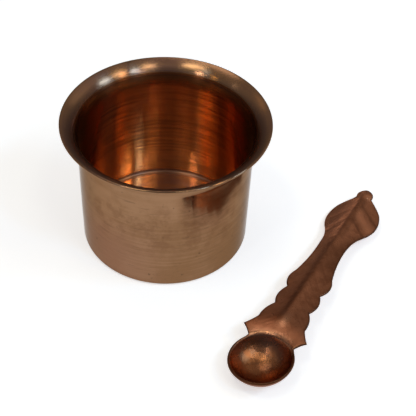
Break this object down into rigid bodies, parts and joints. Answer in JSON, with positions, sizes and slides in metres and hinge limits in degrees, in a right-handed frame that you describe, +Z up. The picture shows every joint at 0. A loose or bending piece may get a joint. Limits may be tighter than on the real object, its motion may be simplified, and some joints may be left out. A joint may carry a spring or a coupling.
{
  "type": "panchpatra cup and spoon set",
  "caption": "Straight-sided copper ritual water cup with a flared lip, and a loose stamped copper spoon with a round bowl, scalloped ridged handle and leaf end.",
  "frame": {"origin": "centre of the underside of the cup's base, on the table", "axes": "+Z up along the cup's axis, +Y away from the viewer, +X to the viewer's right, on the side where the spoon lies"},
  "size_m": [0.1228, 0.1204, 0.0536],
  "materials": {
    "cup_copper": "spun and lightly polished copper, dulled by handling",
    "spoon_copper": "stamped copper, browned by tarnish"
  },
  "bodies": {
    "cup": {"cup": "cup_copper"},
    "spoon": {"spoon": "spoon_copper"}
  },
  "joints": [
    {"name": "spoon_lift", "type": "slide", "parent": "cup", "child": "spoon", "axis": [0, 0, 1], "range_m": [0, 0.1]}
  ]
}
